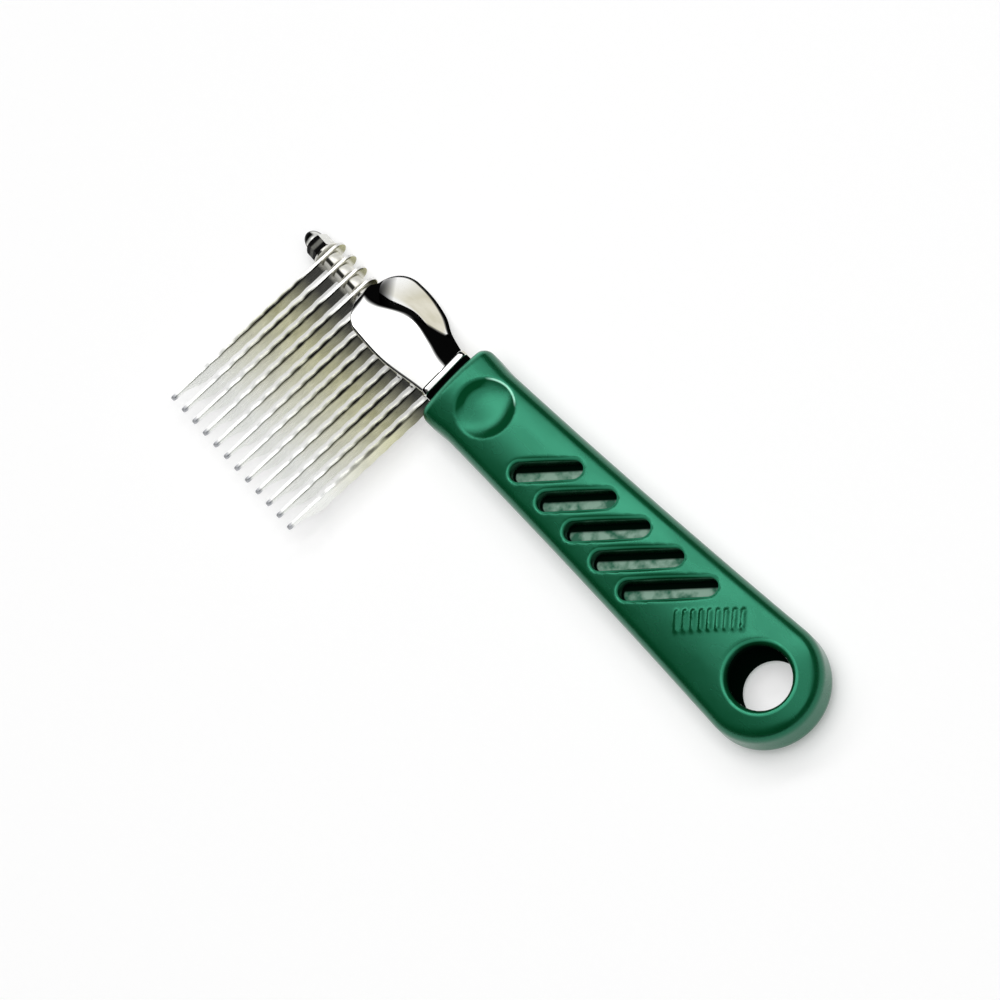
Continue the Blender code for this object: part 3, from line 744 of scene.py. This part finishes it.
def slot_cutter(index, side):
    """Round-ended slot with a softly rounded mouth, which follows the crown, and a level floor."""
    length = SLOT_FIRST_LENGTH + SLOT_GROWTH * index
    mouth = ((-1.2 * MM, 1.3 * MM), (0.05 * MM, 0.5 * MM), (0.2 * MM, 0.25 * MM), (0.5 * MM, 0.07 * MM))
    wall = ((0.9 * MM, 0.0), (SLOT_DEPTH - 0.4 * MM, -0.1 * MM), (SLOT_DEPTH, -0.45 * MM))
    reach = length / 2 - SLOT_WIDTH / 2
    turn = Matrix.Rotation(SLOT_ANGLE, 2)
    centre = Vector((SLOT_FIRST_X + SLOT_PITCH * index, 0))
    rings = []
    for depth, grow in mouth + wall:
        radius = SLOT_WIDTH / 2 + grow
        ends = arc((reach, 0), radius, -pi / 2, pi / 2, 16)
        ends += arc((-reach, 0), radius, pi / 2, 3 * pi / 2, 16)
        places = [turn @ p + centre for p in ends]
        tops = [HANDLE_HALF_HEIGHT if depth > MM else face_height(*p) for p in places]
        rings.append([(p.x, p.y, side * (top - depth)) for p, top in zip(places, tops)])
    return mesh_object(f"slot_cutter_{index}_{side}", loft(rings))


def dimple_cutter(side):
    """Shallow thumb dish with a nearly flat middle and a steeper rim, sunk from the crowned face."""
    rings = []
    for share in (0.02, 0.2, 0.4, 0.55, 0.68, 0.8, 0.88, 0.94, 1.0, 1.2):
        depth = DIMPLE_DEPTH * (1 - share ** 4)
        ring = []
        for angle in around(64):
            x = DIMPLE_X + DIMPLE_REACH_X * share * cos(angle)
            y = DIMPLE_Y + DIMPLE_REACH_Y * share * sin(angle)
            ring.append((x, y, side * (face_height(x, y) - depth)))
        rings.append(ring)
    return mesh_object(f"dimple_cutter_{side}", loft(rings))


def grip_rib(index):
    """One plain raised rib of the row between the last slot and the hole."""
    turn = Matrix.Rotation(SLOT_ANGLE, 2)
    offset = (index - (RIB_COUNT - 1) / 2) * RIB_PITCH
    rings = []
    for height, grow in ((-2.0 * MM, 0.0), (0.1 * MM, 0.0), (RIB_HEIGHT, -0.15 * MM)):
        half_width = RIB_WIDTH / 2 + grow
        half_length = RIB_LENGTH / 2 + grow
        corners = arc((offset, half_length - half_width), half_width, 0, pi, 8)
        corners += arc((offset, -half_length + half_width), half_width, pi, 2 * pi, 8)
        places = [turn @ p + Vector((RIB_X, RIB_Y)) for p in corners]
        rings.append([(p.x, p.y, face_height(*p) + height) for p in places])
    return mesh_object(f"grip_rib_{index}", loft(rings))


def boss_ring(x, grow):
    """Rectangle round the thumb rest's boss at x."""
    y = BOSS_HALF_Y + grow
    z = BOSS_HALF_Z + grow
    return [(x, -y, -z), (x, y, -z), (x, y, z), (x, -y, z)]


def socket_cutter():
    """Recess in the front end round the thumb rest's boss."""
    levels = ((-MM, 0.6 * MM), (0.4 * MM, 0.5 * MM), (1.2 * MM, 0.3 * MM), (4 * MM, 0.3 * MM))
    rings = [boss_ring(x, grow) for x, grow in levels]
    return mesh_object("socket_cutter", loft(rings))


def mark_recesses(mesh):
    """Store each point's place by the openings and the dimple; deep faces take the second material, the
    openings' painted shade.
    """
    places = np.empty(len(mesh.vertices) * 3)
    mesh.vertices.foreach_get("co", places)
    x, y, z = places.reshape(-1, 3).T
    mouth = (HOLE_LENGTH / 2 + HOLE_RING, HOLE_WIDTH / 2 + HOLE_RING)
    outside = (np.hypot((x - HOLE_X) / mouth[0], y / mouth[1]) - 1) * mouth[1]
    for index in range(SLOT_COUNT):
        reach = (SLOT_FIRST_LENGTH + SLOT_GROWTH * index - SLOT_WIDTH) / 2
        from_centre = x - SLOT_FIRST_X - SLOT_PITCH * index
        along = from_centre * cos(SLOT_ANGLE) + y * sin(SLOT_ANGLE)
        across = y * cos(SLOT_ANGLE) - from_centre * sin(SLOT_ANGLE)
        past_end = np.maximum(np.abs(along) - reach, 0.0)
        outside = np.minimum(outside, np.hypot(past_end, across) - SLOT_WIDTH / 2)
    sunk = np.array([face_height(px, py) for px, py in zip(x, y)]) - np.abs(z)
    dimple = np.hypot((x - DIMPLE_X) / DIMPLE_REACH_X, (y - DIMPLE_Y) / DIMPLE_REACH_Y)
    for name, values in (("outside", outside), ("sunk", sunk), ("dimple", dimple)):
        mesh.attributes.new(name, "FLOAT", "POINT").data.foreach_set("value", values)
    deep = (outside < -RECESS_IN) & (sunk > RECESS_DOWN)
    for face in mesh.polygons:
        face.material_index = int(all(deep[i] for i in face.vertices))


def make_handle(material):
    handle = handle_block()
    handle.name = "handle_body"
    helpers = []
    for index in range(RIB_COUNT):
        rib = grip_rib(index)
        boolean(handle, rib, "UNION")
        helpers.append(rib)
    cutters = [hole_cutter(), socket_cutter()]
    for side in (1, -1):
        cutters.append(dimple_cutter(side))
        cutters += [slot_cutter(index, side) for index in range(SLOT_COUNT)]
    for cutter in cutters:
        boolean(handle, cutter)
    helpers += cutters
    remesh = handle.modifiers.new("skin", "REMESH")
    remesh.mode = "VOXEL"
    remesh.voxel_size = SKIN_VOXEL
    smooth = handle.modifiers.new("soften", "SMOOTH")
    smooth.factor = 0.5
    smooth.iterations = 11
    settle(handle, helpers, smooth_angle=radians(80))
    handle.data.materials.clear()
    handle.data.materials.append(material)
    # painted shade: the second material, black and without gloss, is for the openings' deep faces
    handle.data.materials.append(green_plastic("recess_shade_plastic", 0.0))
    mark_recesses(handle.data)
    handle.data.transform(handle_matrix)
    return handle


# ---------------------------------------------------------------- thumb rest

def crest_height(x):
    """Height of the pad's upper rim at x, before the nose rounds it off."""
    return ramp(x, ((0, 6.4 * MM), (-25 * MM, 11.5 * MM), (NOSE_X, 11.5 * MM)))


def lean_out(x, z):
    """How far the nose is pushed out at height z."""
    lean = ramp(x, ((LEAN_START, 0.0), (NOSE_X, NOSE_LEAN))) if x < LEAN_START else 0.0
    return lean * (z - max(z, 0.0) ** 2 / (2 * NOSE_BULGE))


def rounded_corner(corners, i):
    """Points that round off one corner of a closed polygon of (y, z, radius) corners."""
    steps = 10
    corner = Vector(corners[i][:2])
    radius = corners[i][2]
    before = Vector(corners[i - 1][:2]) - corner
    after = Vector(corners[(i + 1) % len(corners)][:2]) - corner
    start = corner + before.normalized() * min(radius, before.length * 0.45)
    end = corner + after.normalized() * min(radius, after.length * 0.45)
    return [start * (1 - t) ** 2 + corner * 2 * t * (1 - t) + end * t ** 2
            for t in (k / steps for k in range(steps + 1))]


def thumb_rest_section(x):
    """Closed section at x: a flank on each side and a slanted, dished pad between two rims."""
    bottom = ramp(x, ((0, -6.8 * MM), (-16 * MM, -8.3 * MM), (NOSE_X, -7.4 * MM)))
    near_rim = ramp(x, ((0, 1.0 * MM), (-17 * MM, 5.2 * MM), (NOSE_X, 0.4 * MM)))
    crest = crest_height(x)
    crest_z = ramp(x, ((0, 3.2 * MM), (-8 * MM, 1.6 * MM), (-17 * MM, -4.6 * MM), (NOSE_X, -4.2 * MM)))
    front = ramp(x, ((0, 5.8 * MM), (-14 * MM, 6.2 * MM), (NOSE_X, 6.2 * MM)))
    back = ramp(x, ((0, -6.0 * MM), (-14 * MM, -6.5 * MM), (NOSE_X, -6.4 * MM)))
    rim_round = ramp(x, ((0, 2.8 * MM), (-16 * MM, 2.6 * MM), (NOSE_X, 4.0 * MM)))
    dish = ramp(x, ((0, 0.0), (-12 * MM, 0.15 * MM), (-24 * MM, 0.12 * MM), (NOSE_X, 0.0)))
    past = max(0.0, NOSE_X + NOSE_ROUND - x) / NOSE_ROUND
    shrink_y = sqrt(max(0.0, 1 - past ** 2))
    shrink_z = max(0.0, 1 - past ** 5) ** 0.2
    corners = ((bottom, front, 0.8 * MM), (near_rim, front, rim_round), (crest, crest_z, 1.3 * MM),
               (crest * 0.45, back, 2.6 * MM), (bottom, back, 2.0 * MM))
    low_front, near, far, high_back, low_back = [rounded_corner(corners, i) for i in range(5)]
    across = far[0] - near[-1]
    inward = Vector((across.y, -across.x)).normalized()
    if inward.x > 0:
        inward = -inward
    pad = [near[-1] + across * k / 12 + inward * dish * sin(pi * k / 12) for k in range(1, 12)]
    points = low_front + near + pad + far + high_back + low_back
    section = [(p.x, p.y * shrink_z) for p in points]
    return [(x + lean_out(x, z), NOSE_Y + (y - NOSE_Y) * shrink_y, z) for y, z in section]


def mark_crest(mesh):
    """Store how far each point of the thumb rest lies below its crest."""
    below = []
    for vertex in mesh.vertices:
        x, y, z = vertex.co
        station = x - lean_out(x, z)
        past = min(max(0.0, NOSE_X + NOSE_ROUND - station) / NOSE_ROUND, 1.0)
        below.append(NOSE_Y + (crest_height(station) - NOSE_Y) * sqrt(1 - past ** 2) - y)
    mesh.attributes.new("below_crest", "FLOAT", "POINT").data.foreach_set("value", below)


def thumb_rest_stations():
    """Places of the sections along X, evenly spread to the nose and then round it."""
    start = NECK_X - COLLAR_LENGTH
    turn_x = NOSE_X + NOSE_ROUND
    stations = [start + (turn_x - start) * k / 48 for k in range(49)]
    stations += [turn_x - NOSE_ROUND * sin(radians(3 * k)) for k in range(1, 29)]
    return stations


def collar_ring(x, inset):
    """Rounded rectangle of the collar at x, drawn in by the inset."""
    flat_low = COLLAR_LOW + COLLAR_CORNER
    flat_high = COLLAR_HIGH - COLLAR_CORNER
    flat_z = COLLAR_HALF_Z - COLLAR_CORNER
    ring = []
    for y, z, start in ((flat_high, flat_z, 0.0), (flat_low, flat_z, pi / 2), (flat_low, -flat_z, pi),
                        (flat_high, -flat_z, 3 * pi / 2)):
        ring += [(x, p.x, p.y) for p in arc((y, z), COLLAR_CORNER - inset, start, start + pi / 2, 12)]
    return ring


def blade_channel():
    """Tunnel over the blades, in the rod's own frame, open below and at the nose."""
    roof_centre = BLADE_HEAD - BLADE_HALF_DEPTH
    section = [(-20 * MM, CHANNEL_HALF)]
    for k in range(25):
        turn = pi * k / 24
        section.append((roof_centre + CHANNEL_HALF * sin(turn), CHANNEL_HALF * cos(turn)))
    section.append((-20 * MM, -CHANNEL_HALF))
    nose_end = (HANDLE_ZERO.x + NOSE_X - NUT_MOUTH.x) - 10 * MM
    last_face = blade_place("blade_12") + BLADE_THICKNESS / 2 + GAP
    return loft([[(x, y, z) for y, z in section] for x in (nose_end, last_face)])


def make_thumb_rest(material):
    sections = [thumb_rest_section(x) for x in thumb_rest_stations()]
    rest = mesh_object("thumb_rest_casting", loft(sections))
    edge = ((0.0, 0.3 * MM), (0.1 * MM, 0.1 * MM), (0.3 * MM, 0.0))
    collar_rings = [collar_ring(NECK_X - COLLAR_LENGTH + x, inset) for x, inset in edge]
    collar_rings += [collar_ring(NECK_X - x, inset) for x, inset in reversed(edge)]
    collar = mesh_object("collar", loft(collar_rings))
    boss = mesh_object("boss", loft([boss_ring(x, 0.0) for x in (NECK_X - MM, BOSS_END)]))
    rod_in_handle = handle_matrix.inverted() @ rod_matrix_at(0.0)
    channel = mesh_object("channel", blade_channel(), matrix=rod_in_handle)
    boolean(rest, collar, "UNION")
    boolean(rest, boss, "UNION")
    boolean(rest, channel)
    rest.data.materials.append(material)
    settle(rest, (collar, boss, channel), smooth_angle=radians(40))
    mark_crest(rest.data)
    rest.data.transform(handle_matrix)
    return rest


# ---------------------------------------------------------------- blades

def wavy_edge(offset, end):
    """Wavy edge down to end, as (y, z) points."""
    points = []
    per_wave = 10
    for k in range(WAVE_COUNT * per_wave + 1):
        y = -WAVE_START - WAVE_PERIOD * k / per_wave
        if y >= end:
            points.append(Vector((y, offset + WAVE_DEPTH * sin(2 * pi * k / per_wave))))
    return points


def blade_outline():
    """Outline of a blade: round head, wavy edge, sweep to the nib and the other wavy edge."""
    half = BLADE_HALF_DEPTH
    tip = -BLADE_LENGTH
    sweep_start = tip + NIB_LENGTH + SWEEP_LENGTH
    head = arc((BLADE_HEAD - half, 0), half, pi / 2, -pi / 2, 20)
    nib_back = half - NIB_WIDTH
    sweep = [Vector((sweep_start - SWEEP_LENGTH * k / 10, -half + (nib_back + half) * ease(k / 10)))
             for k in range(11)]
    nib_radius = NIB_WIDTH / 2
    nib = arc((tip + nib_radius, half - nib_radius), nib_radius, -pi / 2, -3 * pi / 2, 12)
    back = list(reversed(wavy_edge(half, sweep_start)))
    return head + wavy_edge(-half, sweep_start) + sweep + nib + back


def blade_mesh(material):
    """One blade with ground edges and a bore for the rod; all twelve are copies of it."""
    half = BLADE_THICKNESS / 2
    outline = blade_outline()
    inner = inset_outline(outline, -GRIND_DEPTH)
    land = half - GRIND_SIDE
    levels = ((-half, inner), (-land, outline), (land, outline), (half, inner))
    skin = loft([[(x, p.x, p.y) for p in ring] for x, ring in levels])
    blade = mesh_object("blade_form", skin, material)
    circle = [(BORE_RADIUS * cos(a), BORE_RADIUS * sin(a)) for a in around(32)]
    bore = mesh_object("blade_bore", loft([[(x, y, z) for y, z in circle] for x in (-MM, MM)]))
    boolean(blade, bore)
    settle(blade, (bore,), smooth_angle=radians(22))
    mesh = blade.data
    mesh.name = "blade_form"
    bpy.data.objects.remove(blade, do_unlink=True)
    return mesh


# ---------------------------------------------------------------- rod and hardware

def chamfered_ring(length, outer, inner, chamfer):
    """Profile of a ring with rounded-off outer corners, as (x, radius) points."""
    half = length / 2
    brow = chamfer * 0.3
    corner = [(half, outer - chamfer), (half - brow, outer - brow), (half - chamfer, outer)]
    return [(-half, inner), (half, inner)] + corner + [(-x, radius) for x, radius in reversed(corner)]


def make_rod(material):
    """Round rod with a real screw thread on the end that carries the nut."""
    low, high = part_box("blade_rod")
    lean = ROD_SIDE.x * ROD_RADIUS
    start = (low.x - NUT_MOUTH.x + lean) / ROD_WAY.x
    end = (high.x - NUT_MOUTH.x - lean) / ROD_WAY.x
    sides = 32
    step = THREAD_PITCH / 8
    places = [start + step * k for k in range(int(THREADED / step) + 1)] + [end]
    rings = []
    for x in places:
        ring = []
        for k in range(sides):
            phase = ((x - start) / THREAD_PITCH - k / sides) % 1.0
            groove = THREAD_DEPTH * max(0.0, 1 - abs(phase - 0.5) / 0.35)
            fade = ease((start + THREADED - x) / MM)
            tip = ease((x - start) / (0.4 * MM))
            radius = (ROD_RADIUS - groove * fade) - 0.3 * MM * (1 - tip)
            angle = 2 * pi * k / sides
            ring.append((x, radius * cos(angle), radius * sin(angle)))
        rings.append(ring)
    return mesh_object("threaded_rod", loft(rings), material, rod_matrix_at(0.0))


def make_nut(material):
    """Chamfered hexagon under a domed cap; the mouth is at x = 0 and the dome points to -x."""
    flat = NUT_ACROSS_FLATS / 2
    sides = 96
    wide = flat / cos(pi / 6)
    slope = tan(radians(30))

    def radius_at(x, angle):
        """Hexagon trimmed by a cone at both ends."""
        from_flat = angle % (pi / 3) - pi / 6
        cone = flat + 0.05 * MM + min(-x, x + NUT_HEX_LENGTH) / slope
        return min(flat / cos(from_flat), cone)

    inside = ((-NUT_BORE_DEPTH, 0.02 * MM), (-NUT_BORE_DEPTH, BORE_RADIUS * 0.96), (0, BORE_RADIUS))
    rings = [[(x, r, a) for a in around(sides)] for x, r in inside]
    trim = (wide - flat) * slope
    places = [-trim * k / 6 for k in range(7)]
    places += [-NUT_HEX_LENGTH / 2]
    places += [-NUT_HEX_LENGTH + trim * (6 - k) / 6 for k in range(7)]
    rings += [[(x, radius_at(x, a), a) for a in around(sides)] for x in places]
    dome_foot = -NUT_HEX_LENGTH - 0.1 * MM
    dome_length = NUT_LENGTH + dome_foot
    dome = [(-NUT_HEX_LENGTH, NUT_DOME_RADIUS + 0.08 * MM)]
    for k in range(14):
        turn = pi / 2 * k / 14
        dome.append((dome_foot - dome_length * sin(turn), NUT_DOME_RADIUS * cos(turn)))
    rings += [[(x, r, a) for a in around(sides)] for x, r in dome]
    rings = [[(x, r * cos(a), r * sin(a)) for x, r, a in ring] for ring in rings]
    return mesh_object("domed_nut", loft(rings), material, rod_matrix_at(0.0), smooth_angle=radians(25))


def copy_of(mesh, name, matrix):
    """Object with a copy of a mesh, moved to its place."""
    copy = mesh.copy()
    copy.name = name
    copy.transform(matrix)
    obj = bpy.data.objects.new(name, copy)
    bpy.context.scene.collection.objects.link(obj)
    return obj


def numbered_nodes(start):
    """Nodes whose names are the start and a number, in order."""
    return sorted(name for name in frame["nodes"] if name.startswith(start) and name[-1].isdigit())


def make_head(materials):
    """Rod, blades, spacers, washer and nut, each standing for its own CAD node."""
    rod = make_rod(materials["bright_steel"])
    fit(rod, "comb", "blade_rod")

    blade = blade_mesh(materials["blade_steel"])
    for node in numbered_nodes("blade_"):
        piece = copy_of(blade, node + "_steel", rod_matrix_at(blade_place(node)))
        fit(piece, "comb", node)

    length = BLADE_PITCH - BLADE_THICKNESS - 2 * GAP
    spacer_profile = chamfered_ring(length, SPACER_RADIUS, BORE_RADIUS, 0.25 * MM)
    form = mesh_object("spacer_form", turned(spacer_profile, 48), materials["bright_steel"])
    spacer = form.data
    bpy.data.objects.remove(form, do_unlink=True)
    for node in numbered_nodes("spacer_"):
        piece = copy_of(spacer, node + "_turned", rod_matrix_at(along_rod(node)))
        fit(piece, "comb", node)

    washer_profile = chamfered_ring(WASHER_THICKNESS, WASHER_RADIUS, BORE_RADIUS, 0.15 * MM)
    washer = mesh_object("washer_disc", turned(washer_profile, 64), materials["bright_steel"],
                         rod_matrix_at(along_rod("clamp_washer")))
    fit(washer, "washer", "clamp_washer")
    fit(make_nut(materials["nut_plate"]), "nut", "cap_nut")


def fit(piece, body, node):
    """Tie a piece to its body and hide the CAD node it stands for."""
    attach(piece, body)
    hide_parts(node)


# ---------------------------------------------------------------- studio

def make_floor():
    bm = bmesh.new()
    bmesh.ops.create_grid(bm, x_segments=2, y_segments=2, size=1.6)
    floor = mesh_object("studio_floor", bm, floor_paper())


def area_light(name, way, distance, width, height, power):
    """Soft box that faces the comb from the given direction."""
    light = bpy.data.lights.new(name, "AREA")
    light.shape = "RECTANGLE"
    light.size = width
    light.size_y = height
    light.energy = power
    lamp = bpy.data.objects.new(name, light)
    bpy.context.scene.collection.objects.link(lamp)
    way = Vector(way).normalized()
    lamp.location = way * distance
    lamp.rotation_euler = way.to_track_quat("Z", "Y").to_euler()
    return lamp


def make_air():
    """Bright studio ceiling that stops short of the horizon and dims on the teeth's side."""
    world = bpy.data.worlds.new("studio_air")
    bpy.context.scene.world = world
    n = Nodes(world, "Background")
    way = n.add("ShaderNodeTexCoord").outputs["Generated"]
    height = n.axis(way, "Z")
    rise = n.remap(height, sin(CEILING_START), sin(CEILING_FULL), HORIZON, CEILING, "SMOOTHSTEP")
    aside = n.remap(n.axis(way, "Y"), -0.30, 0.06, 0.06, 1.0, "SMOOTHSTEP")
    beyond = n.remap(n.axis(way, "Y"), 0.30, 0.50, 1.0, 0.45, "SMOOTHSTEP")
    n.surface("Color", WHITE)
    n.surface("Strength", n.multiply(n.multiply(rise, aside), beyond))


def make_lights():
    make_air()
    area_light("key_softbox", (-0.45, 0.25, 0.86), 1.2, 1.5, 0.24, 3.0)
    overhead = area_light("top_softbox", (0.1, 0.0, 1.0), 1.2, 0.9, 0.9, 8.0)
    overhead.visible_glossy = False


def make_camera():
    toward = Vector((sin(VIEW_TILT), 0, cos(VIEW_TILT)))
    across = Vector((cos(VIEW_TILT), 0, -sin(VIEW_TILT)))
    right = (across * cos(VIEW_ROLL) + Vector((0, 1, 0)) * sin(VIEW_ROLL)).normalized()
    up = toward.cross(right)
    target = HANDLE_ZERO + Vector(VIEW_CENTRE)
    camera = bpy.data.cameras.new("camera")
    camera.sensor_width = SENSOR_WIDTH
    camera.lens = SENSOR_WIDTH * VIEW_DISTANCE / VIEW_WIDTH
    camera.clip_end = 12
    obj = bpy.data.objects.new("camera", camera)
    bpy.context.scene.collection.objects.link(obj)
    turn = Matrix((right, up, toward)).transposed().to_4x4()
    obj.matrix_world = Matrix.Translation(target + toward * VIEW_DISTANCE) @ turn
    bpy.context.scene.camera = obj
    bpy.context.scene.view_settings.view_transform = "Standard"


# ---------------------------------------------------------------- scene

def main():
    makers = (green_plastic, chrome, blade_steel, bright_steel, nut_plate)
    materials = {make.__name__: make() for make in makers}
    fit(make_handle(materials["green_plastic"]), "comb", "handle")
    fit(make_thumb_rest(materials["chrome"]), "comb", "thumb_rest")
    make_head(materials)
    make_floor()
    make_lights()
    make_camera()


main()
